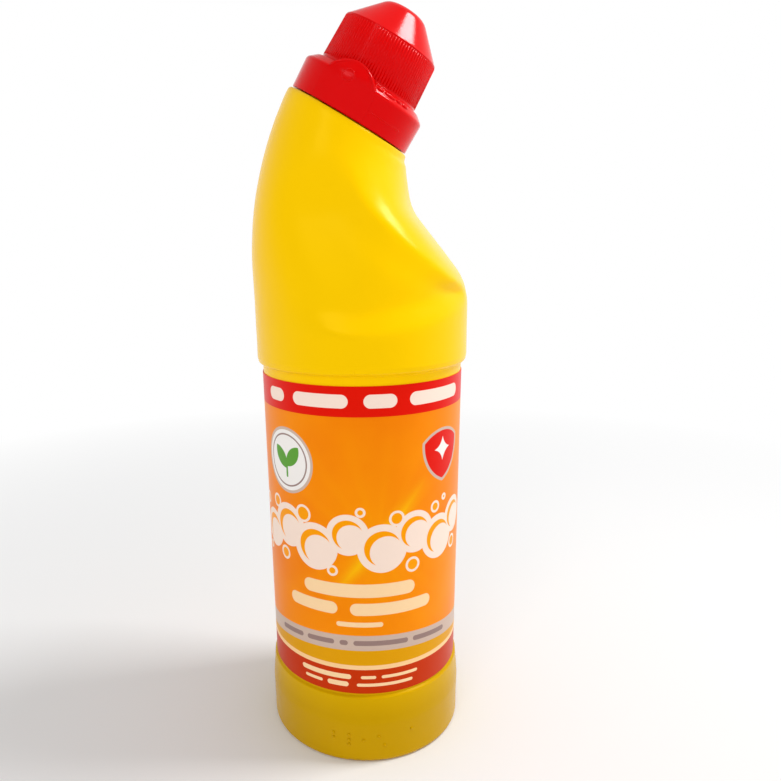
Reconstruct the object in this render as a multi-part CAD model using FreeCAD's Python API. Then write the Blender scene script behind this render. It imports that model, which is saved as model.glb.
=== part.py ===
"""Thick bleach bottle with an angled neck: blown bottle, wrap label, pouring nozzle, seal and cap.

Millimetres, +Z up. The origin is the middle of the standing ring, on the surface the bottle
stands on. The neck leans towards +X and the bottle is the same on both sides of the XZ plane.
The nozzle, the seal and the cap are drawn upright in the neck's own frame, whose origin is the
middle of the cap's lower rim, and are then leaned over together.
"""

import FreeCAD
import Part
import math
import os

V = FreeCAD.Vector

# Bottle body, from the floor up. A size that ends in IN is how far the wall lies inside BODY_R.
BODY_R = 38.2
WALL = 1.2
BASE_RISE = 4.0
STAND_W = 10.6
HEEL_R = 1.4
FOOT_IN = 1.6
FOOT_BULGE_IN = 1.4
FOOT_BULGE_Z = 15.5
FOOT_RIM_Z = 25.6
FOOT_RIM_IN = 2.2
RECESS_LOW_IN = 3.2
RECESS_TOP_IN = 1.9
RECESS_TOP_Z = 141.2
STEP_RISE = 2.2
SHOULDER_Z = 145.4

# Shoulder, nose and neck
NOSE_Z = 168.5
NOSE_R = 21.0
SLOPE_TOP_X = 17.6
SLOPE_TOP_Z = 194.9
THROAT_R = 15.0
REAR_BULGE = 0.45
REAR_BULGE_Z = 178.0
REAR_MID_IN = 2.8
REAR_MID_Z = 205.6
NECK_X = -3.3
NECK_Z = 224.9
NECK_LEAN = 31.2
NECK_TOP_R = 23.2
NECK_EDGE_R = 1.2
LAND_GAP = 0.4

# Side grips: where they begin above the shoulder, how fast the side leans in, how deep they sink
GRIP_LOW_Z = 153.2
GRIP_LOW_ANGLE = 78.0
GRIP_EASE = 0.12
GRIP_RISE_PER_DEG = 0.125
GRIP_DEPTH = 2.8
GRIP_LEDGE = 9.0
GRIP_EDGE_ANGLE = 24.0
GRIP_FRONT_ANGLE = 16.0
GRIP_REAR_ANGLE = 122.0
GRIP_FADE_ANGLE = 42.0
GRIP_TOP_Z = 212.0
GRIP_TOP_FADE = 20.0
RIDGE_LOW_Z = 167.5
RIDGE_SPREAD = 12.1
RIDGE_POWER = 0.46

# How much squarer than an oval the section is above the grips' lower edge
FULL_RISE = 20.0
REAR_FULLNESS = 0.15
SLOPE_FULLNESS = 0.75

# Neck finish, nozzle and seal, along the neck
FINISH_R = 13.6
FINISH_TOP = 17.5
BORE_R = 11.4
THREAD_PITCH = 4.0
THREAD_DEPTH = 1.2
THREAD_ROOT_W = 2.0
THREAD_CREST_W = 0.9
NECK_THREAD_LOW = 5.0
NECK_THREAD_TURNS = 2.0
NOZZLE_FIT = 0.03
NOZZLE_FLANGE_R = 13.2
NOZZLE_FLANGE_T = 1.2
NOZZLE_DEPTH = 8.0
NOZZLE_WALL = 1.0
SPOUT_BORE_R = 3.0
SPOUT_WALL = 1.2
SPOUT_TOP = 23.2
SEAL_R = 14.6
SEAL_T = 1.2

# Cap, along the neck
CAP_FIT = 0.4
CAP_WALL = 1.5
COLLAR_LOW_R = 22.3
COLLAR_TOP_R = 22.4
COLLAR_TOP = 10.4
COLLAR_EDGE_R = 1.5
BARREL_LOW = 13.0
BARREL_LOW_R = 17.9
BARREL_TOP = 28.3
BARREL_TOP_R = 17.05
DOME_LEDGE = 0.35
DOME_TIP_R = 7.0
DOME_TIP = 38.2
DOME_TOP = 39.4
CAP_SKIRT_LOW = 2.0
CAP_SKIRT_WALL = 1.5
CAP_THREAD_TURNS = 1.5
SEAT_RING_R = 11.4
SEAT_RING_T = 1.2
PAD_HALF_W = 9.4
PAD_PROUD = 0.1
PAD_LOW = 0.6
PAD_SPRING = 9.0
PAD_TOP = 15.8
PAD_BEND_R = 8.0

# Child-resistant lugs: two on the neck's land, two inside the cap's collar
LUG_GAP = 0.35
LUG_T = 1.6
LUG_H = 3.6
LUG_W = 5.0

# Wrap label
LABEL_LOW_Z = 26.9
LABEL_TOP_Z = 138.2
LABEL_T = 0.25
LABEL_GAP = 0.02

LEAN = math.radians(NECK_LEAN)

# Rings that the upper body is lofted through: level ones, ones that fan out to the neck, and
# ones round the edge of its land, which end a little past the land and are cut there
RING_POINTS = 80
RING_STEP = 1.9
NECK_LOW_Z = 190.0
NECK_RINGS = 10
EDGE_RINGS = 3
EDGE_SPARE = 0.08
EDGE_LOW = EDGE_SPARE - LAND_GAP - NECK_EDGE_R

# Turned and lofted skins closer than this to one another are one skin
SKIN_TOLERANCE = 0.004


def in_neck_frame(shape):
    """Lean a shape drawn upright over into the neck's place."""
    turn = FreeCAD.Rotation(V(0, 1, 0), NECK_LEAN)
    shape.Placement = FreeCAD.Placement(V(NECK_X, 0, NECK_Z), turn)
    return shape


def neck_point(x, w):
    """A point of the XZ plane, given across and along the neck."""
    across = V(math.cos(LEAN), 0, -math.sin(LEAN))
    along = V(math.sin(LEAN), 0, math.cos(LEAN))
    return V(NECK_X, 0, NECK_Z) + across * x + along * w


def rounded_line(corners):
    """Edges through (x, z, radius) corners, with each corner of radius above 0 rounded."""
    points = [V(x, 0, z) for x, z, radius in corners]
    edges = []
    start = points[0]
    for i in range(1, len(points) - 1):
        radius = corners[i][2]
        if radius <= 0:
            edges.append(Part.makeLine(start, points[i]))
            start = points[i]
            continue
        back = (points[i - 1] - points[i]).normalize()
        ahead = (points[i + 1] - points[i]).normalize()
        half = back.getAngle(ahead) / 2
        inset = radius / math.tan(half)
        middle = (back + ahead).normalize()
        reach = radius / math.sin(half) - radius
        leave = points[i] + back * inset
        join = points[i] + ahead * inset
        edges.append(Part.makeLine(start, leave))
        edges.append(Part.Arc(leave, points[i] + middle * reach, join).toShape())
        start = join
    edges.append(Part.makeLine(start, points[-1]))
    return edges


def turned(corners):
    """Solid of revolution about Z of a closed outline of (r, z, radius) corners."""
    edges = rounded_line(corners)
    first = V(corners[0][0], 0, corners[0][1])
    last = V(corners[-1][0], 0, corners[-1][1])
    edges.append(Part.makeLine(last, first))
    face = Part.Face(Part.Wire(edges))
    return face.revolve(V(0, 0, 0), V(0, 0, 1), 360)


def smooth(t):
    """0 below 0, 1 above 1, and an even curve between."""
    t = min(1.0, max(0.0, t))
    return t * t * (3 - 2 * t)


def eased(t):
    """From 0 to 1 with a soft start and then in a nearly straight line."""
    return t * t * (1 + GRIP_EASE) / (t + GRIP_EASE)


# Bottle: the turned lower half

def lower_profile(inset):
    """Half outline of the lower bottle, all of it drawn in by inset."""
    wall = BODY_R - inset
    stand_in_r = BODY_R - FOOT_IN - STAND_W
    sharp = inset > 0
    return [
        (0, BASE_RISE + inset, 0),
        (stand_in_r * 0.55, BASE_RISE + inset, BASE_RISE * 7),
        (stand_in_r, inset, BASE_RISE * 1.5),
        (wall - FOOT_IN, inset, HEEL_R),
        (wall - FOOT_IN, FOOT_BULGE_Z * 0.4, FOOT_BULGE_Z * 1.6),
        (wall - FOOT_BULGE_IN, FOOT_BULGE_Z, FOOT_BULGE_Z * 0.8),
        (wall - FOOT_RIM_IN, FOOT_RIM_Z - inset, 0 if sharp else 0.5),
        (wall - RECESS_LOW_IN, FOOT_RIM_Z + 0.5 - inset, 0 if sharp else 0.3),
        (wall - RECESS_TOP_IN, RECESS_TOP_Z + inset, 0 if sharp else 0.3),
        (wall - 0.2 * RECESS_TOP_IN, RECESS_TOP_Z + 0.35 * STEP_RISE + inset, 0.55 * STEP_RISE),
        (wall, RECESS_TOP_Z + 1.2 * STEP_RISE + 0.5 * inset, 1.1 * STEP_RISE),
        (wall, SHOULDER_Z, 0),
        (0, SHOULDER_Z, 0),
    ]


# Bottle: the upper half, drawn as rings between a rear and a front outline

def rear_outline():
    """Rear outline in the XZ plane, upright at the shoulder and along the neck at its top."""
    curve = Part.BSplineCurve()
    curve.interpolate(
        Points=[
            V(-BODY_R, 0, SHOULDER_Z),
            V(-BODY_R - REAR_BULGE, 0, REAR_BULGE_Z),
            V(REAR_MID_IN - BODY_R, 0, REAR_MID_Z),
            neck_point(-NECK_TOP_R, EDGE_LOW),
        ],
        InitialTangent=V(0, 0, 1),
        FinalTangent=V(math.sin(LEAN), 0, math.cos(LEAN)),
    )
    return curve.toShape().discretize(Number=200)


def front_outline():
    """Front outline in the XZ plane: shoulder, nose, slope, throat and neck."""
    top = neck_point(NECK_TOP_R, EDGE_LOW)
    corners = [
        (BODY_R, SHOULDER_Z, 0),
        (BODY_R, NOSE_Z, NOSE_R),
        (SLOPE_TOP_X, SLOPE_TOP_Z, THROAT_R),
        (top.x, top.z, 0),
    ]
    wire = Part.Wire(rounded_line(corners))
    return wire.discretize(Number=200)


def at_height(outline, z):
    """The x of an outline at height z."""
    for low, high in zip(outline, outline[1:]):
        if low.z <= z <= high.z:
            share = (z - low.z) / (high.z - low.z)
            return low.x + share * (high.x - low.x)
    return outline[-1].x if z > outline[-1].z else outline[0].x


def side_reach(z):
    """Half depth of the body in Y at height z: full below the grips, then leaning in to the neck."""
    share = min(1.0, max(0.0, (z - GRIP_LOW_Z) / (NECK_Z - GRIP_LOW_Z)))
    return BODY_R - (BODY_R - NECK_TOP_R) * eased(share)


def fullness(z, front_share, neck_share):
    """Power of the section's oval: 2 is an ellipse, more is squarer. The slope's front is full."""
    above = z - GRIP_LOW_Z - GRIP_LEDGE
    grown = smooth(above / FULL_RISE) * (1 - smooth(neck_share * 1.2))
    return 2 + grown * (REAR_FULLNESS + SLOPE_FULLNESS * smooth(front_share))


def crease_height(degrees):
    """Height of the grip's lower edge, lowest at the side and rising to the nose."""
    away = degrees - GRIP_LOW_ANGLE
    return GRIP_LOW_Z + GRIP_RISE_PER_DEG * (math.sqrt(away * away + 100) - 10)


def grip_sink(degrees, z):
    """How deep the side grip lies below the round body at this angle from the front."""
    ridge = RIDGE_SPREAD * max(0.0, z - RIDGE_LOW_Z) ** RIDGE_POWER
    above_crease = smooth((z - crease_height(degrees)) / GRIP_LEDGE)
    share = min(1.0, max(0.0, (degrees - ridge) / GRIP_EDGE_ANGLE))
    share = eased(share)
    past_ridge = 1 - (1 - share) ** 2
    from_front = smooth(degrees / GRIP_FRONT_ANGLE)
    before_rear = smooth((GRIP_REAR_ANGLE - degrees) / GRIP_FADE_ANGLE)
    below_top = smooth((GRIP_TOP_Z - z) / GRIP_TOP_FADE)
    return GRIP_DEPTH * above_crease * past_ridge * from_front * before_rear * below_top


def ring(rear, front, inset, neck_share):
    """Closed curve through the rear and front points, square to the XZ plane."""
    middle = (rear + front) * 0.5
    across = front - rear
    half = across.Length / 2
    across.normalize()
    z = middle.z
    side = side_reach(z)
    points = []
    for i in range(RING_POINTS):
        angle = 2 * math.pi * i / RING_POINTS
        c = math.cos(angle)
        s = math.sin(angle)
        power = fullness(z, (c + 1) / 2, neck_share)
        reach = (abs(c / half) ** power + abs(s / side) ** power) ** (-1 / power)
        level = z + across.z * reach * c
        reach -= inset + grip_sink(abs(math.degrees(math.atan2(s, c))), level)
        points.append(middle + across * (reach * c) + V(0, -reach * s, 0))
    curve = Part.BSplineCurve()
    steps = [i / RING_POINTS for i in range(RING_POINTS + 1)]
    curve.interpolate(Points=points, PeriodicFlag=True, Parameters=steps)
    return Part.Wire([curve.toShape()])


def upper_body(inset):
    """Shoulder, nose and neck as one lofted solid, drawn in by inset."""
    rear_line = rear_outline()
    front_line = front_outline()
    rings = []
    level = SHOULDER_Z
    while level < NECK_LOW_Z:
        rear = V(at_height(rear_line, level), 0, level)
        front = V(at_height(front_line, level), 0, level)
        rings.append(ring(rear, front, inset, 0))
        level += RING_STEP
    for i in range(NECK_RINGS + 1):
        share = i / NECK_RINGS
        rear_z = NECK_LOW_Z + (rear_line[-1].z - NECK_LOW_Z) * share
        front_z = NECK_LOW_Z + (front_line[-1].z - NECK_LOW_Z) * share
        rear = V(at_height(rear_line, rear_z), 0, rear_z)
        front = V(at_height(front_line, front_z), 0, front_z)
        rings.append(ring(rear, front, inset, share))
    for i in range(1, EDGE_RINGS + 1):
        turn = math.pi / 2 * i / EDGE_RINGS
        level = EDGE_LOW + NECK_EDGE_R * math.sin(turn)
        drop = NECK_EDGE_R * (1 - math.cos(turn))
        rear = neck_point(-NECK_TOP_R, level)
        front = neck_point(NECK_TOP_R, level)
        rings.append(ring(rear, front, inset + drop, 1))
    return Part.makeLoft(rings, True, False, False, 5)


# Thread, drawn upright in the neck's frame

def thread(root_r, crest_r, low, turns, phase):
    """Helical ridge of trapezoid section between two radii, standing on root_r."""
    helix = Part.makeHelix(THREAD_PITCH, THREAD_PITCH * turns, root_r)
    sink = 0.3 if crest_r > root_r else -0.3
    half_root = THREAD_ROOT_W / 2
    half_crest = THREAD_CREST_W / 2
    outline = Part.makePolygon([
        V(root_r - sink, 0, -half_root),
        V(crest_r, 0, -half_crest),
        V(crest_r, 0, half_crest),
        V(root_r - sink, 0, half_root),
        V(root_r - sink, 0, -half_root),
    ])
    ridge = Part.Wire(helix).makePipeShell([outline], True, True)
    ridge.rotate(V(0, 0, 0), V(0, 0, 1), phase)
    ridge.translate(V(0, 0, low))
    return ridge


def lug(inner_r, outer_r, low, angle):
    """One child-resistant lug, a block between two radii."""
    block = Part.makeBox(outer_r + 1, LUG_W, LUG_H, V(0, -LUG_W / 2, low))
    ring_part = Part.makeCylinder(outer_r, LUG_H, V(0, 0, low))
    ring_part = ring_part.cut(Part.makeCylinder(inner_r, LUG_H, V(0, 0, low)))
    block = block.common(ring_part)
    block.rotate(V(0, 0, 0), V(0, 0, 1), angle)
    return block


def above_neck(level):
    """Everything above a level along the neck, to be cut off."""
    wide = 4 * NECK_TOP_R
    return in_neck_frame(Part.makeBox(wide, wide, wide / 2, V(-wide / 2, -wide / 2, level)))


def collar_bore():
    """Radius of the inside of the cap's collar, one wall inside its narrower end."""
    return min(COLLAR_LOW_R, COLLAR_TOP_R) - CAP_WALL


def neck_finish():
    """Threaded finish that stands on the land, and the two lugs beside it."""
    low = -LAND_GAP - WALL
    body = turned([
        (0, low, 0),
        (FINISH_R, low, 0),
        (FINISH_R, FINISH_TOP, 0.4),
        (0, FINISH_TOP, 0),
    ])
    ridge = thread(FINISH_R, FINISH_R + THREAD_DEPTH, NECK_THREAD_LOW, NECK_THREAD_TURNS, 0)
    outer = collar_bore() - LUG_T - LUG_GAP
    lugs = [lug(outer - LUG_T, outer, -LAND_GAP, side) for side in (60, 240)]
    return body.fuse([ridge] + lugs)


def make_bottle():
    """The blown bottle, one piece, hollow and open at the mouth."""
    uppers = [upper_body(0).cut(above_neck(-LAND_GAP)), in_neck_frame(neck_finish())]
    outside = turned(lower_profile(0)).fuse(uppers, SKIN_TOLERANCE)
    top = -LAND_GAP - NECK_EDGE_R - WALL
    bore = turned([
        (0, top - 3, 0),
        (NECK_TOP_R - 4, top - 3, 0),
        (BORE_R, top + 1.0, 1.0),
        (BORE_R, FINISH_TOP + 1, 0),
        (0, FINISH_TOP + 1, 0),
    ])
    uppers = [upper_body(WALL).cut(above_neck(top)), in_neck_frame(bore)]
    hollow = turned(lower_profile(WALL)).fuse(uppers, SKIN_TOLERANCE)
    return outside.cut(hollow)


# Wrap label, nozzle, seal and cap

def recess_r(z):
    """Radius of the label recess at height z."""
    low = FOOT_RIM_Z + 0.5
    share = (z - low) / (RECESS_TOP_Z - low)
    return BODY_R - RECESS_LOW_IN + (RECESS_LOW_IN - RECESS_TOP_IN) * share


def make_label():
    """Wrap label, a thin sleeve in the recess."""
    low_r = recess_r(LABEL_LOW_Z) + LABEL_GAP
    top_r = recess_r(LABEL_TOP_Z) + LABEL_GAP
    return turned([
        (low_r, LABEL_LOW_Z, 0),
        (low_r + LABEL_T, LABEL_LOW_Z, 0),
        (top_r + LABEL_T, LABEL_TOP_Z, 0),
        (top_r, LABEL_TOP_Z, 0),
    ])


def make_nozzle():
    """Pouring nozzle: flange on the neck's rim, plug in its bore, spout in the middle."""
    plug_r = BORE_R - NOZZLE_FIT
    low = FINISH_TOP - NOZZLE_DEPTH
    spout_r = SPOUT_BORE_R + SPOUT_WALL
    return in_neck_frame(turned([
        (SPOUT_BORE_R, low, 0),
        (plug_r, low, 0.8),
        (plug_r, FINISH_TOP, 0),
        (NOZZLE_FLANGE_R, FINISH_TOP, 0),
        (NOZZLE_FLANGE_R, FINISH_TOP + NOZZLE_FLANGE_T, 0.5),
        (plug_r - NOZZLE_WALL, FINISH_TOP + NOZZLE_FLANGE_T, 0.5),
        (plug_r - NOZZLE_WALL, low + NOZZLE_WALL, 1.0),
        (spout_r + 0.6, low + NOZZLE_WALL, 0.8),
        (spout_r, SPOUT_TOP, 0.4),
        (SPOUT_BORE_R, SPOUT_TOP, 0),
    ]))


def make_seal():
    """Sealing disc, held in the cap and pressed on the spout."""
    return in_neck_frame(Part.makeCylinder(SEAL_R, SEAL_T, V(0, 0, SPOUT_TOP)))


def cap_outside():
    """Turned outside of the cap: collar, shoulder, barrel and dome."""
    tip_r = BARREL_TOP_R - DOME_LEDGE
    return turned([
        (0, 0, 0),
        (COLLAR_LOW_R, 0, 0.3),
        (COLLAR_TOP_R, COLLAR_TOP, COLLAR_EDGE_R),
        (BARREL_LOW_R + 1.8, BARREL_LOW - 0.4, 1.0),
        (BARREL_LOW_R, BARREL_LOW + 0.2, 0.8),
        (BARREL_TOP_R, BARREL_TOP, 0.35),
        (tip_r, BARREL_TOP + 0.3, 0.1),
        (DOME_TIP_R, DOME_TIP, 6.0),
        (0, DOME_TOP, 0),
    ])


def cap_inside():
    """Hollow of the cap: collar ring, threaded skirt, seal chamber and dome."""
    thread_r = FINISH_R + THREAD_DEPTH + CAP_FIT
    seat = SPOUT_TOP + SEAL_T
    tip_r = BARREL_TOP_R - DOME_LEDGE
    bore = turned([
        (0, -1, 0),
        (thread_r, -1, 0),
        (thread_r, seat, 0),
        (SEAT_RING_R, seat, 0.3),
        (SEAT_RING_R, seat + SEAT_RING_T, 0.3),
        (thread_r - 0.4, seat + SEAT_RING_T + 0.3, 0.3),
        (tip_r - 1.8, BARREL_TOP, 1.0),
        (DOME_TIP_R - 0.8, DOME_TIP - CAP_WALL, 4.0),
        (0, DOME_TOP - CAP_WALL, 0),
    ])
    skirt_r = thread_r + CAP_SKIRT_WALL
    collar_r = collar_bore()
    moat = turned([
        (skirt_r, -1, 0),
        (collar_r, -1, 0),
        (collar_r, COLLAR_TOP - 0.6, 1.0),
        (skirt_r, COLLAR_TOP + 1.0, 0.5),
    ])
    under_skirt = turned([
        (0, -1, 0),
        (collar_r, -1, 0),
        (collar_r, CAP_SKIRT_LOW, 0),
        (0, CAP_SKIRT_LOW, 0),
    ])
    return bore.fuse([moat, under_skirt])


def squeeze_pad():
    """One arched pad on the -Y side, from the barrel out to just proud of the collar."""
    arch = Part.Arc(
        V(PAD_HALF_W, 0, PAD_SPRING), V(0, 0, PAD_TOP), V(-PAD_HALF_W, 0, PAD_SPRING)).toShape()
    foot = Part.makePolygon([
        V(-PAD_HALF_W, 0, PAD_SPRING), V(-PAD_HALF_W, 0, PAD_LOW),
        V(PAD_HALF_W, 0, PAD_LOW), V(PAD_HALF_W, 0, PAD_SPRING)])
    face = Part.Face(Part.Wire([arch] + foot.Edges))
    prism = face.extrude(V(0, -2 * COLLAR_TOP_R, 0))
    root_r = collar_bore() + CAP_WALL * 0.4
    outer = turned([
        (root_r, PAD_LOW, 0),
        (COLLAR_LOW_R + PAD_PROUD, PAD_LOW, 0),
        (COLLAR_TOP_R + PAD_PROUD, COLLAR_TOP + 0.6, PAD_BEND_R),
        (COLLAR_TOP_R + PAD_PROUD - 2.2, PAD_TOP, 0.6),
        (BARREL_LOW_R - 0.6, PAD_TOP, 0),
        (BARREL_LOW_R - 0.6, COLLAR_TOP, 0),
        (root_r, COLLAR_TOP, 0),
    ])
    return prism.common(outer)


def make_cap():
    """Squeeze-and-turn cap, one moulded piece."""
    thread_r = FINISH_R + THREAD_DEPTH + CAP_FIT
    shell = cap_outside().cut(cap_inside())
    pad = squeeze_pad()
    other_pad = pad.copy()
    other_pad.rotate(V(0, 0, 0), V(0, 0, 1), 180)
    lug_r = collar_bore()
    lugs = [lug(lug_r - LUG_T, lug_r + 0.3, LUG_GAP, side) for side in (30, 210)]
    ridge = thread(thread_r, thread_r - THREAD_DEPTH, NECK_THREAD_LOW + THREAD_PITCH / 2,
                   CAP_THREAD_TURNS, 0)
    return in_neck_frame(shell.fuse([pad, other_pad, ridge] + lugs))


PARTS = {
    "bottle": make_bottle,
    "wrap_label": make_label,
    "nozzle": make_nozzle,
    "seal_disc": make_seal,
    "cap": make_cap,
}

os.makedirs("parts", exist_ok=True)
for name, make in PARTS.items():
    shape = make().removeSplitter()
    shape.exportStep("parts/" + name + ".step")
    print(name, "solids", len(shape.Solids), "valid", shape.isValid(),
          "volume cm3", round(shape.Volume / 1000, 2))
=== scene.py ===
"""Looks of the bleach bottle: plastics, label print, small relief, floor, light and camera.

Sizes are in millimetres in the row frame and become metres where meshes are made. The bottle stands
on z = 0, its neck leans towards +X, and the front of the label faces -Y.
"""

import math

import bmesh
import bpy
from mathutils import Matrix, Vector


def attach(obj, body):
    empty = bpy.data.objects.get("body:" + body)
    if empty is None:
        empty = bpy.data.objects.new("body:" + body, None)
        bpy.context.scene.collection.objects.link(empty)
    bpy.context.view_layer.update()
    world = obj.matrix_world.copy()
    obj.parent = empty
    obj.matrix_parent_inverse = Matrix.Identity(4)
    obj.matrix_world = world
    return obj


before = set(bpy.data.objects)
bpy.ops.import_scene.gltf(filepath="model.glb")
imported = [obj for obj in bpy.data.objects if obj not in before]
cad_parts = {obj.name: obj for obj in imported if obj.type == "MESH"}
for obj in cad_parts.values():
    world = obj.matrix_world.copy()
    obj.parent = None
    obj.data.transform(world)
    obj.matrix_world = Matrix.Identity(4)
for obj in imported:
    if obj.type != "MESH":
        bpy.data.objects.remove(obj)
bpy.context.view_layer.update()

MM = 0.001

# Camera, at the photograph's viewing angle
CAMERA_AT = (50.3, -246.2, 181.7)
CAMERA_TURN = 13.0
CAMERA_DOWN = 11.75
CAMERA_ROLL = -0.97
CAMERA_LENS = 31.6
CAMERA_SHIFT = 0.0583

# The neck's own frame: the middle of the cap's lower rim, leaning towards +X
NECK_AT = (-3.3, 0.0, 224.9)
NECK_LEAN = 31.2

# Label sleeve
LABEL_R = 35.9
LABEL_FRONT = 8.2
LABEL_TOP = 138.2
RED_BAND_LOW = 128.0
SILVER_HIGH = 49.6
SILVER_LOW = 43.8
SILVER_FALL = 0.0016
CREAM_HIGH = 38.0
CREAM_LOW = 36.3

NECK = Matrix.Translation(Vector(NECK_AT)) @ Matrix.Rotation(math.radians(NECK_LEAN), 4, "Y")


def linear(red, green, blue):
    """Colour of a painted surface from its 0 to 255 screen values."""
    return tuple((max(c, 0) / 255) ** 2.2 for c in (red, green, blue)) + (1.0,)


# Arithmetic on a surface

class Value:
    """A number worked out at each point of a surface, so that shapes are written as arithmetic."""

    def __init__(self, tree, source):
        self.tree = tree
        self.source = source

    def apply(self, operation, *others, clamp=False):
        node = self.tree.nodes.new("ShaderNodeMath")
        node.operation = operation
        node.use_clamp = clamp
        for socket, item in zip(node.inputs, (self,) + others):
            if isinstance(item, Value):
                self.tree.links.new(item.source, socket)
            else:
                socket.default_value = item
        return Value(self.tree, node.outputs[0])

    def __add__(self, other):
        return self.apply("ADD", other)

    def __sub__(self, other):
        return self.apply("SUBTRACT", other)

    def __mul__(self, other):
        return self.apply("MULTIPLY", other)

    def __abs__(self):
        return self.apply("ABSOLUTE")

    def least(self, other):
        return self.apply("MINIMUM", other)

    def most(self, other):
        return self.apply("MAXIMUM", other)

    def hypot(self, other):
        return (self * self + other * other).apply("SQRT")

    def inside(self, soft=0.12):
        """1 where this distance is below 0, 0 where it is above, with a soft edge."""
        return self.apply("MULTIPLY_ADD", -1 / soft, 0.5, clamp=True)


def disc(u, v, at_u, at_v, radius):
    """Distance outside a circle."""
    return (u - at_u).hypot(v - at_v) - radius


def pill(u, v, left, right, middle, half):
    """Distance outside a level bar with round ends."""
    run = (right - left) / 2 - half
    along = (abs(u - (left + right) / 2) - run).most(0.0)
    return along.hypot(v - middle) - half


def panel(u, v, at_u, at_v, half_u, half_v, corner):
    """Distance outside a rectangle with rounded corners."""
    across = (abs(u - at_u) - (half_u - corner)).most(0.0)
    up = (abs(v - at_v) - (half_v - corner)).most(0.0)
    return across.hypot(up) - corner


def leaf(u, v, at_u, at_v, length, width, turn):
    """Distance outside a leaf: what two circles share, its long axis turned from upright."""
    c = math.cos(math.radians(turn))
    s = math.sin(math.radians(turn))
    across = (u - at_u) * c + (v - at_v) * s
    along = (v - at_v) * c - (u - at_u) * s
    reach = (length * length / 4 - width * width / 4) / width
    radius = reach + width / 2
    return disc(abs(across), along, -reach, 0.0, radius)


def joined(distances):
    """Distance outside several shapes taken together."""
    result = distances[0]
    for distance in distances[1:]:
        result = result.least(distance)
    return result


# Materials

def new_material(name):
    """Material with a shader, its tree and its shader node."""
    material = bpy.data.materials.new(name)
    material.use_nodes = True
    tree = material.node_tree
    return material, tree, tree.nodes["Principled BSDF"]


def add_noise(tree, scale, detail=2.0):
    """Cloudy pattern fixed to the piece, about 1 / scale metres across."""
    place = tree.nodes.new("ShaderNodeTexCoord")
    noise = tree.nodes.new("ShaderNodeTexNoise")
    noise.inputs["Scale"].default_value = scale
    noise.inputs["Detail"].default_value = detail
    tree.links.new(place.outputs["Object"], noise.inputs["Vector"])
    return noise.outputs["Fac"]


def add_bump(tree, shader, height, strength, distance):
    """Small relief from a pattern."""
    bump = tree.nodes.new("ShaderNodeBump")
    bump.inputs["Strength"].default_value = strength
    bump.inputs["Distance"].default_value = distance
    tree.links.new(height, bump.inputs["Height"])
    tree.links.new(bump.outputs["Normal"], shader.inputs["Normal"])


def mixed(tree, share, first, second):
    """Colour between two colours, each a plain one or a socket."""
    node = tree.nodes.new("ShaderNodeMix")
    node.data_type = "RGBA"
    tree.links.new(share, node.inputs["Factor"])
    for socket, item in ((node.inputs[6], first), (node.inputs[7], second)):
        if isinstance(item, tuple):
            socket.default_value = item
        else:
            tree.links.new(item, socket)
    return node.outputs[2]


def plastic(name, light, dark, roughness, gloss, sheen):
    """Moulded plastic, a little cloudy in colour, with a very fine grain and a coloured sheen."""
    material, tree, shader = new_material(name)
    cloud = add_noise(tree, 30.0)
    tree.links.new(mixed(tree, cloud, light, dark), shader.inputs["Base Color"])
    shader.inputs["Roughness"].default_value = roughness
    shader.inputs["Specular IOR Level"].default_value = gloss
    shader.inputs["Specular Tint"].default_value = sheen
    add_bump(tree, shader, add_noise(tree, 900.0, 1.0), 0.04, 0.0002)
    return material


# Label print: u runs round the sleeve from the middle of its front, v is the height

ORANGE = linear(250, 130, 0)
AMBER = linear(255, 158, 0)
EMBER = linear(238, 108, 0)
GLOW = linear(255, 206, 16)
RED = linear(226, 16, 6)
SILVER = linear(205, 180, 165)
SILVER_DARK = linear(150, 125, 120)
MUSTARD = linear(226, 158, 8)
CREAM = linear(255, 208, 150)
BRICK = linear(198, 52, 0)
FOAM = linear(250, 226, 210)
PALE = linear(255, 216, 166)
WHITE = linear(244, 240, 236)
LEAF = linear(92, 158, 60)

# Foam in the middle of the front, bubbles as u, v, radius: the heap, and the loose ones round it
HEAP = (
    (-38.5, 82.0, 7.2), (-27.5, 86.5, 8.0), (-15.5, 81.5, 8.6), (-3.5, 87.0, 7.4),
    (8.5, 82.0, 8.8), (20.5, 86.5, 7.6), (31.5, 82.0, 8.2), (42.0, 87.0, 6.8),
)
LOOSE = (
    (-45.0, 91.5, 2.4), (-34.5, 93.6, 2.6), (-20.0, 92.6, 3.2), (-9.0, 73.6, 2.0),
    (1.0, 95.2, 1.8), (13.5, 92.4, 2.8), (-30.0, 75.2, 2.6), (19.6, 74.6, 2.8),
    (29.5, 93.4, 2.2), (41.5, 76.6, 2.6), (-43.0, 73.6, 1.6), (34.4, 95.8, 1.3),
)
SUN_AT = (7.0, 84.0)
BADGE_AT = (-27.0, 110.4)
BADGE_R = 11.8
SHIELD_AT = (33.0, 116.0)
SHIELD_HALF = 9.9
SHIELD_DEEP = 14.0


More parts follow.
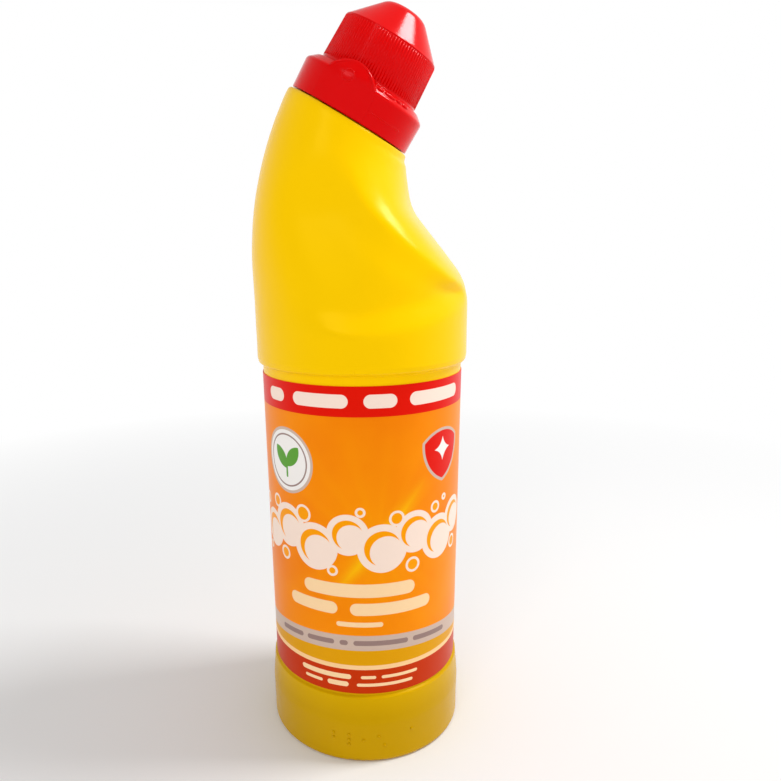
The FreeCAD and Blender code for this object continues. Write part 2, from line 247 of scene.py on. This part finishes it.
class Print:
    """The label's print, laid down colour by colour."""

    def __init__(self, tree):
        self.tree = tree
        place = tree.nodes.new("ShaderNodeTexCoord")
        split = tree.nodes.new("ShaderNodeSeparateXYZ")
        tree.links.new(place.outputs["Object"], split.inputs[0])
        x, y, z = (Value(tree, split.outputs[i]) for i in range(3))
        c = math.cos(math.radians(LABEL_FRONT))
        s = math.sin(math.radians(LABEL_FRONT))
        across = x * c + y * s
        ahead = x * s - y * c
        self.u = across.apply("ARCTAN2", ahead) * LABEL_R
        self.back_u = (across * -1.0).apply("ARCTAN2", ahead * -1.0) * LABEL_R
        self.v = z * (1 / MM)
        self.colour = None

    def lay(self, distance, colour, soft=0.12):
        """Cover what is inside a shape."""
        self.cover(distance.inside(soft), colour)

    def cover(self, share, colour):
        """Cover by a share from 0 to 1."""
        self.colour = mixed(self.tree, share.source, self.colour, colour)

    def bars(self, u, rows, colour):
        """Level round-ended bars, each (left, right, middle height, half thickness)."""
        shapes = [pill(u, self.v, *row) for row in rows]
        self.lay(joined(shapes), colour)

    def badge(self):
        """Round white badge with a grey ring and a pair of leaves."""
        u, v = self.u, self.v
        at_u, at_v = BADGE_AT
        self.lay(disc(u, v, at_u, at_v, BADGE_R), SILVER)
        self.lay(disc(u, v, at_u, at_v, BADGE_R - 1.0), WHITE)
        ring = abs(disc(u, v, at_u, at_v, BADGE_R - 2.6)) - 0.28
        self.lay(ring, SILVER_DARK)
        leaves = [
            leaf(u, v, at_u - 2.9, at_v + 0.8, 9.6, 4.8, 38),
            leaf(u, v, at_u + 2.9, at_v + 1.6, 9.6, 4.8, -38),
            pill(u, v, at_u - 0.5, at_u + 0.5, at_v - 4.6, 0.45),
            panel(u, v, at_u, at_v - 3.6, 0.45, 2.6, 0.4),
        ]
        self.lay(joined(leaves), LEAF)

    def foam(self):
        """Heap of pale bubbles with a glint in each, and loose bubbles as rings."""
        u, v = self.u, self.v
        self.lay(joined([disc(u, v, *bubble) for bubble in HEAP]), FOAM)
        glints = []
        for at_u, at_v, radius in HEAP:
            inner = disc(u, v, at_u, at_v, radius * 0.72)
            shade = disc(u, v, at_u + radius * 0.16, at_v - radius * 0.16, radius * 0.66)
            glints.append(inner.most(shade * -1.0))
        self.lay(joined(glints), AMBER)
        rings = joined([disc(u, v, *bubble) for bubble in LOOSE])
        self.lay(rings, FOAM)
        self.lay(rings + 0.85, AMBER)

    def shield(self):
        """Red shield with a silver rim and a white spark."""
        u, v = self.u, self.v
        at_u, at_v = SHIELD_AT
        aside = abs(u - at_u)
        reach = (SHIELD_DEEP ** 2 - SHIELD_HALF ** 2) / (2 * SHIELD_HALF)
        sides = disc(aside, v, -reach, at_v, SHIELD_HALF + reach)
        body = sides.most(disc(u, v, at_u, at_v - 9.0, 14.2))
        self.lay(body, SILVER)
        self.lay(body + 1.0, RED)
        rise = abs(v - at_v + 2.2)
        spark = (rise + 0.35).apply("POWER", 0.5) + (aside + 0.35).apply("POWER", 0.5) - 2.75
        self.lay(spark, WHITE, 0.06)

    def back(self):
        """Plain panel on the back, with pale rows where small print would be."""
        u, v = self.back_u, self.v
        self.lay(panel(u, v, 0.0, 88.0, 38.0, 33.0, 4.0), PALE)
        self.lay(panel(u, v, 0.0, 88.0, 37.2, 32.2, 3.4), CREAM)
        rows = [(-32.0, 32.0 - 9.0 * (i % 3), 114.0 - 5.2 * i, 0.75) for i in range(8)]
        self.bars(u, rows, MUSTARD)
        self.lay(disc(u, v, -24.0, 65.0, 6.0), BRICK)
        self.lay(disc(u, v, -24.0, 65.0, 5.0), CREAM)
        self.bars(u, [(-12.0, 32.0, 67.5, 1.1), (-12.0, 22.0, 62.5, 1.1)], BRICK)


def label_material():
    """Printed film: bands, glow, badges and foam as flat fields of colour."""
    material, tree, shader = new_material("label_print")
    art = Print(tree)
    u, v = art.u, art.v
    cloud = add_noise(tree, 14.0)
    art.colour = mixed(tree, cloud, ORANGE, AMBER)

    # Low sun behind the foam, with rays and one slanting beam
    deep = Value(tree, add_noise(tree, 26.0, 3.0)).apply("MULTIPLY_ADD", 2.4, -0.85, clamp=True)
    art.cover(deep * 0.7, EMBER)
    aside = u - SUN_AT[0]
    above = v - SUN_AT[1]
    away = aside.hypot(above)
    rays = (aside.apply("ARCTAN2", above) * 17.0).apply("SINE")
    ray_fade = away.apply("MULTIPLY_ADD", -0.016, 0.8, clamp=True)
    art.cover((rays * ray_fade * 0.28).most(0.0), AMBER)
    art.cover(away.apply("MULTIPLY_ADD", -0.022, 0.6, clamp=True), AMBER)
    slant = abs(aside * 0.77 - above * 0.64)
    along = abs(aside * 0.64 + above * 0.77)
    beam = slant.apply("MULTIPLY_ADD", -0.2, 1.0, clamp=True)
    fade = along.apply("MULTIPLY_ADD", -0.034, 1.0, clamp=True)
    art.cover(beam * beam * fade, GLOW)

    art.foam()
    art.bars(u, [
        (-20.5, 20.5, 66.6, 2.5),
        (-27.4, -7.5, 59.6, 2.3), (-3.0, 27.4, 59.6, 2.3),
        (-8.0, 8.6, 53.8, 0.9),
    ], PALE)
    art.badge()
    art.shield()
    art.back()

    # Bands round the whole sleeve
    art.lay((v - RED_BAND_LOW) * -1.0, RED)
    words = [(-36.0, -27.0), (-22.5, -2.5), (2.5, 13.5), (18.0, 42.0)]
    for turn in (u, art.back_u):
        art.bars(turn, [(left, right, 133.2, 2.3) for left, right in words], FOAM)
    dip = (u * u) * SILVER_FALL
    wave = (dip * -1.0).most(-4.0) + SILVER_HIGH
    art.lay(v - SILVER_HIGH + 3.0, MUSTARD)
    art.lay(v - wave, SILVER)
    art.lay(v - wave + (SILVER_HIGH - SILVER_LOW), MUSTARD)
    dashes = [(-34.0, -22.0), (-20.0, -9.0), (-7.0, -4.0), (-2.0, 18.0), (20.0, 36.0)]
    raised = v - wave + SILVER_HIGH
    shapes = [pill(u, raised, a, b, 46.7, 0.95) for a, b in dashes]
    art.lay(joined(shapes), SILVER_DARK)
    art.lay(v - CREAM_HIGH, CREAM)
    art.lay(v - CREAM_LOW, BRICK)
    art.bars(u, [
        (-23.0, -3.0, 33.4, 0.95), (0.5, 6.0, 33.3, 0.6), (8.0, 22.0, 33.3, 0.6),
        (-21.5, -14.0, 30.3, 0.6), (-12.0, -4.0, 30.4, 0.95), (-1.0, 20.0, 30.3, 0.6),
    ], PALE)
    tree.links.new(art.colour, shader.inputs["Base Color"])
    shader.inputs["Roughness"].default_value = 0.34
    shader.inputs["Specular IOR Level"].default_value = 0.16
    shader.inputs["Specular Tint"].default_value = (1.0, 0.6, 0.25, 1.0)
    add_bump(tree, shader, add_noise(tree, 220.0), 0.05, 0.0003)
    return material


# How high the painted shade on the foot reaches, and over what height it fades, in millimetres
FOOT_SHADE_TOP = 52.0
FOOT_SHADE_FADE = 34.0


def blown_yellow():
    """The bottle's yellow, with painted shade darkening it low on the foot, and the fine parting line of
    its mould.
    """
    material = plastic("blown_yellow", linear(254, 203, 0), linear(251, 198, 0), 0.26, 0.17,
                       (1.0, 0.86, 0.1, 1.0))
    tree = material.node_tree
    shader = tree.nodes["Principled BSDF"]
    place = tree.nodes.new("ShaderNodeTexCoord")
    split = tree.nodes.new("ShaderNodeSeparateXYZ")
    tree.links.new(place.outputs["Object"], split.inputs[0])
    height = Value(tree, split.outputs[2])
    # Painted shade: the yellow is mixed towards a darker yellow low on the foot, up to the first height
    # and fading out over the second
    deep = height.apply("MULTIPLY_ADD", -1 / (MM * FOOT_SHADE_FADE), FOOT_SHADE_TOP / FOOT_SHADE_FADE, clamp=True)
    body = shader.inputs["Base Color"].links[0].from_socket
    tree.links.new(mixed(tree, deep.source, body, linear(200, 154, 0)), shader.inputs["Base Color"])
    seam = (abs(Value(tree, split.outputs[1])) - 0.15 * MM).inside(0.15 * MM)
    add_bump(tree, shader, seam.source, 0.3, 0.0002)
    return material


YELLOW = blown_yellow()
CAP_RED = plastic("moulded_red", linear(222, 0, 1), linear(212, 0, 1), 0.16, 0.18, (1.0, 0.4, 0.45, 1.0))
NOZZLE_WHITE = plastic("moulded_white", linear(238, 238, 234), linear(230, 230, 226), 0.4, 0.4,
                       (1.0, 1.0, 1.0, 1.0))
SEAL_FOAM = plastic("pressed_foam", linear(226, 226, 220), linear(214, 214, 208), 0.7, 0.2,
                    (1.0, 1.0, 1.0, 1.0))
LABEL_PRINT = label_material()

for node, material in (
        ("bottle", YELLOW), ("wrap_label", LABEL_PRINT), ("nozzle", NOZZLE_WHITE),
        ("seal_disc", SEAL_FOAM), ("cap", CAP_RED)):
    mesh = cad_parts[node].data
    mesh.materials.clear()
    mesh.materials.append(material)


# Small relief

def new_piece(name, build, place, material, body):
    """Mesh piece drawn in millimetres by build, set in place, that rides on a body."""
    drawing = bmesh.new()
    build(drawing)
    drawing.transform(Matrix.Scale(MM, 4) @ place)
    mesh = bpy.data.meshes.new(name)
    drawing.to_mesh(mesh)
    drawing.free()
    mesh.materials.append(material)
    for face in mesh.polygons:
        face.use_smooth = True
    piece = bpy.data.objects.new(name, mesh)
    bpy.context.scene.collection.objects.link(piece)
    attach(piece, body)
    return piece


def on_wall(radius, angle, height, tilt=0.0):
    """Place on an upright round wall: +Z points out, +Y up. Angles run from +X towards -Y."""
    turn = Matrix.Rotation(math.radians(-angle), 4, "Z")
    out = Matrix.Rotation(math.radians(90 - tilt), 4, "Y") @ Matrix.Rotation(math.radians(90), 4, "Z")
    return turn @ Matrix.Translation((radius, 0, height)) @ out


def bead(drawing, place, half_x, half_y, rise):
    """Smooth low dome with its middle at place, sunk a little at its edge."""
    rows = []
    for slope in (100, 72, 48, 24):
        out = math.sin(math.radians(slope))
        up = math.cos(math.radians(slope)) * rise
        row = []
        for i in range(BEAD_SIDES):
            turn = 2 * math.pi * i / BEAD_SIDES
            point = Vector((math.cos(turn) * out * half_x, math.sin(turn) * out * half_y, up))
            row.append(drawing.verts.new(place @ point))
        rows.append(row)
    for low, high in zip(rows, rows[1:]):
        for i in range(BEAD_SIDES):
            k = (i + 1) % BEAD_SIDES
            drawing.faces.new((low[i], low[k], high[k], high[i]))
    top = drawing.verts.new(place @ Vector((0, 0, rise)))
    for i in range(BEAD_SIDES):
        drawing.faces.new((rows[-1][i], rows[-1][(i + 1) % BEAD_SIDES], top))


def ridge(drawing, places, half, rise, closed=False):
    """Low rounded ridge through places, each with +Z out and +X across the ridge."""
    rows = []
    for place in places:
        rows.append([drawing.verts.new(place @ Vector((side * half, 0, level * rise)))
                     for side, level in RIDGE_SECTION])
    pairs = list(zip(rows, rows[1:]))
    if closed:
        pairs.append((rows[-1], rows[0]))
    else:
        drawing.faces.new(rows[0])
        drawing.faces.new(list(reversed(rows[-1])))
    for here, there in pairs:
        for a, b, c, d in zip(here, here[1:], there[1:], there):
            drawing.faces.new((d, c, b, a))


BEAD_SIDES = 16
RIDGE_SECTION = ((-1.0, -0.6), (-0.55, 0.75), (0.0, 1.0), (0.55, 0.75), (1.0, -0.6))

# Dots moulded low on the foot, as angle and height, and the tick over the label's middle
FOOT_DOTS = (
    (97.0, 11.2), (97.1, 9.2), (88.0, 11.1), (88.1, 9.1), (88.1, 7.2), (79.9, 9.2),
    (71.2, 10.5), (67.9, 6.7), (51.6, 11.2),
)


def draw_dots(drawing):
    """The foot's dots."""
    for angle, height in FOOT_DOTS:
        bead(drawing, on_wall(36.66, angle, height), 0.6, 0.6, 0.5)


def draw_tick(drawing):
    """The tick over the label."""
    bead(drawing, on_wall(37.85, 82.3, 143.0), 0.35, 1.1, 0.35)


new_piece("foot_dots", draw_dots, Matrix.Identity(4), YELLOW, "bottle_body")
new_piece("label_tick", draw_tick, Matrix.Identity(4), YELLOW, "bottle_body")

# Fine ribs round the cap's barrel, from one height and radius to another
RIBS = 108
RIB_LOW = (13.9, 17.86)
RIB_TOP = (27.8, 17.08)
RIB_HALF = 0.27
RIB_RISE = 0.11


def draw_ribs(drawing):
    """The barrel's ribs."""
    across = Matrix.Identity(4)
    for i in range(RIBS):
        angle = 360 * (i + 0.5) / RIBS
        places = [on_wall(radius, angle, level) @ across for level, radius in (RIB_LOW, RIB_TOP)]
        ridge(drawing, places, RIB_HALF, RIB_RISE)


# Small marks moulded in the cap, the same on both sides: a bead along each pad's arch, a ring on
# the pad, a line low on the collar, and lumps on the ledge round the barrel, as angle, half
# length and half width
ARCH_MIDDLE = 5.9
ARCH_R = 9.35
ARCH_HALF_ANGLE = 62.0
MARK_RING = (92.8, 10.6, 1.9, 0.24)
MARK_LINE = (30.0, 64.0, 4.5)
LEDGE_LUMPS = ((63.0, 1.4, 0.6), (52.5, 2.3, 0.9), (42.0, 1.2, 0.7), (33.5, 1.6, 0.9))
LEDGE_AT = (20.5, 11.95, 50.0)


def pad_radius(height):
    """Radius of the pad's face, upright at first and then leaning in."""
    return 22.5 - max(0.0, height - 9.3) ** 2 / 16


def draw_cap_marks(drawing):
    """The cap's ring, line and lumps on both sides."""
    across = Matrix.Rotation(math.radians(90), 4, "Z")
    for side in (0.0, 180.0):
        places = []
        for i in range(33):
            turn = math.radians(ARCH_HALF_ANGLE * (i / 16 - 1))
            level = ARCH_MIDDLE + ARCH_R * math.cos(turn)
            wall = pad_radius(level)
            angle = 90 - math.degrees(math.asin(ARCH_R * math.sin(turn) / wall))
            place = on_wall(wall, angle + side, level, 12.0)
            places.append(place @ Matrix.Rotation(-turn, 4, "Z") @ across)
        ridge(drawing, places, 0.42, 0.24)
        angle, height, radius, half = MARK_RING
        places = []
        for i in range(32):
            turn = 2 * math.pi * i / 32
            level = height + radius * math.sin(turn)
            wall = pad_radius(level)
            aside = math.degrees(radius * math.cos(turn) / wall)
            place = on_wall(wall, angle + side - aside, level)
            places.append(place @ Matrix.Rotation(turn, 4, "Z"))
        ridge(drawing, places, half, 0.18, closed=True)
        low, high, height = MARK_LINE
        steps = [low + (high - low) * i / 20 for i in range(21)]
        places = [on_wall(22.32, step + side, height) @ across for step in steps]
        ridge(drawing, places, 0.22, 0.14)
        radius, height, tilt = LEDGE_AT
        for angle, long, wide in LEDGE_LUMPS:
            bead(drawing, on_wall(radius, angle + side, height, tilt), long, wide, 0.5)


new_piece("barrel_ribs", draw_ribs, NECK, CAP_RED, "cap_body")
new_piece("cap_marks", draw_cap_marks, NECK, CAP_RED, "cap_body")


# Floor, light and camera

# Floor: how far from the bottle it starts to fade into white light, and over what length, in metres
FLOOR_FADE_FROM = 0.14
FLOOR_FADE = 0.4


def add_floor():
    """Round plain floor that takes the bottle's shadow and fades into the white around it."""
    drawing = bmesh.new()
    bmesh.ops.create_circle(drawing, cap_ends=True, segments=96, radius=6.0)
    mesh = bpy.data.meshes.new("floor")
    drawing.to_mesh(mesh)
    drawing.free()
    material, tree, shader = new_material("floor_white")
    place = tree.nodes.new("ShaderNodeTexCoord")
    split = tree.nodes.new("ShaderNodeSeparateXYZ")
    tree.links.new(place.outputs["Object"], split.inputs[0])
    away = Value(tree, split.outputs[0]).hypot(Value(tree, split.outputs[1])) - FLOOR_FADE_FROM
    share = away.apply("MULTIPLY", 1 / FLOOR_FADE, clamp=True)
    near = mixed(tree, add_noise(tree, 3.0), (0.9, 0.9, 0.9, 1.0), (0.88, 0.88, 0.88, 1.0))
    colour = mixed(tree, share.source, near, (0.0, 0.0, 0.0, 1.0))
    tree.links.new(colour, shader.inputs["Base Color"])
    tree.links.new(share.source, shader.inputs["Emission Strength"])
    shader.inputs["Emission Color"].default_value = (1.0, 1.0, 1.0, 1.0)
    shader.inputs["Roughness"].default_value = 0.9
    shader.inputs["Specular IOR Level"].default_value = 0.0
    mesh.materials.append(material)
    floor = bpy.data.objects.new("floor", mesh)
    bpy.context.scene.collection.objects.link(floor)


def add_light(name, at, aim, size, power):
    """Soft square light at one point, facing another."""
    lamp = bpy.data.lights.new(name, "AREA")
    lamp.shape = "RECTANGLE"
    lamp.size, lamp.size_y = size
    lamp.energy = power
    holder = bpy.data.objects.new(name, lamp)
    bpy.context.scene.collection.objects.link(holder)
    direction = Vector(aim) - Vector(at)
    holder.location = at
    holder.rotation_euler = direction.to_track_quat("-Z", "Y").to_euler()


def add_sky(level, overhead):
    """White light from all round, strongest at eye level."""
    world = bpy.data.worlds.new("studio")
    bpy.context.scene.world = world
    world.use_nodes = True
    tree = world.node_tree
    place = tree.nodes.new("ShaderNodeTexCoord")
    split = tree.nodes.new("ShaderNodeSeparateXYZ")
    tree.links.new(place.outputs["Generated"], split.inputs[0])
    rise = Value(tree, split.outputs[2]).apply("MULTIPLY_ADD", 3.0, -0.9, clamp=True)
    strength = rise * (overhead - level) + level
    shade = tree.nodes["Background"]
    shade.inputs["Color"].default_value = (1.0, 1.0, 1.0, 1.0)
    tree.links.new(strength.source, shade.inputs["Strength"])


def add_camera():
    """Camera that sees the bottle as the photograph does."""
    data = bpy.data.cameras.new("camera")
    data.sensor_width = 36.0
    data.lens = CAMERA_LENS
    data.shift_x = CAMERA_SHIFT
    data.clip_start = 0.01
    camera = bpy.data.objects.new("camera", data)
    bpy.context.scene.collection.objects.link(camera)
    turn = Matrix.Rotation(math.radians(CAMERA_TURN), 4, "Z")
    tilt = Matrix.Rotation(math.radians(90 - CAMERA_DOWN), 4, "X")
    roll = Matrix.Rotation(math.radians(CAMERA_ROLL), 4, "Z")
    camera.matrix_world = Matrix.Translation(Vector(CAMERA_AT) * MM) @ turn @ tilt @ roll
    bpy.context.scene.camera = camera


bpy.context.scene.view_settings.view_transform = "Standard"
add_camera()
add_floor()
add_sky(1.0, 0.5)
add_light("front", (-0.08, -0.55, 0.62), (0.0, 0.0, 0.16), (0.22, 0.22), 0.6)
add_light("top", (0.42, 0.13, 0.74), (0.02, 0.0, 0.2), (0.2, 0.2), 3.4)
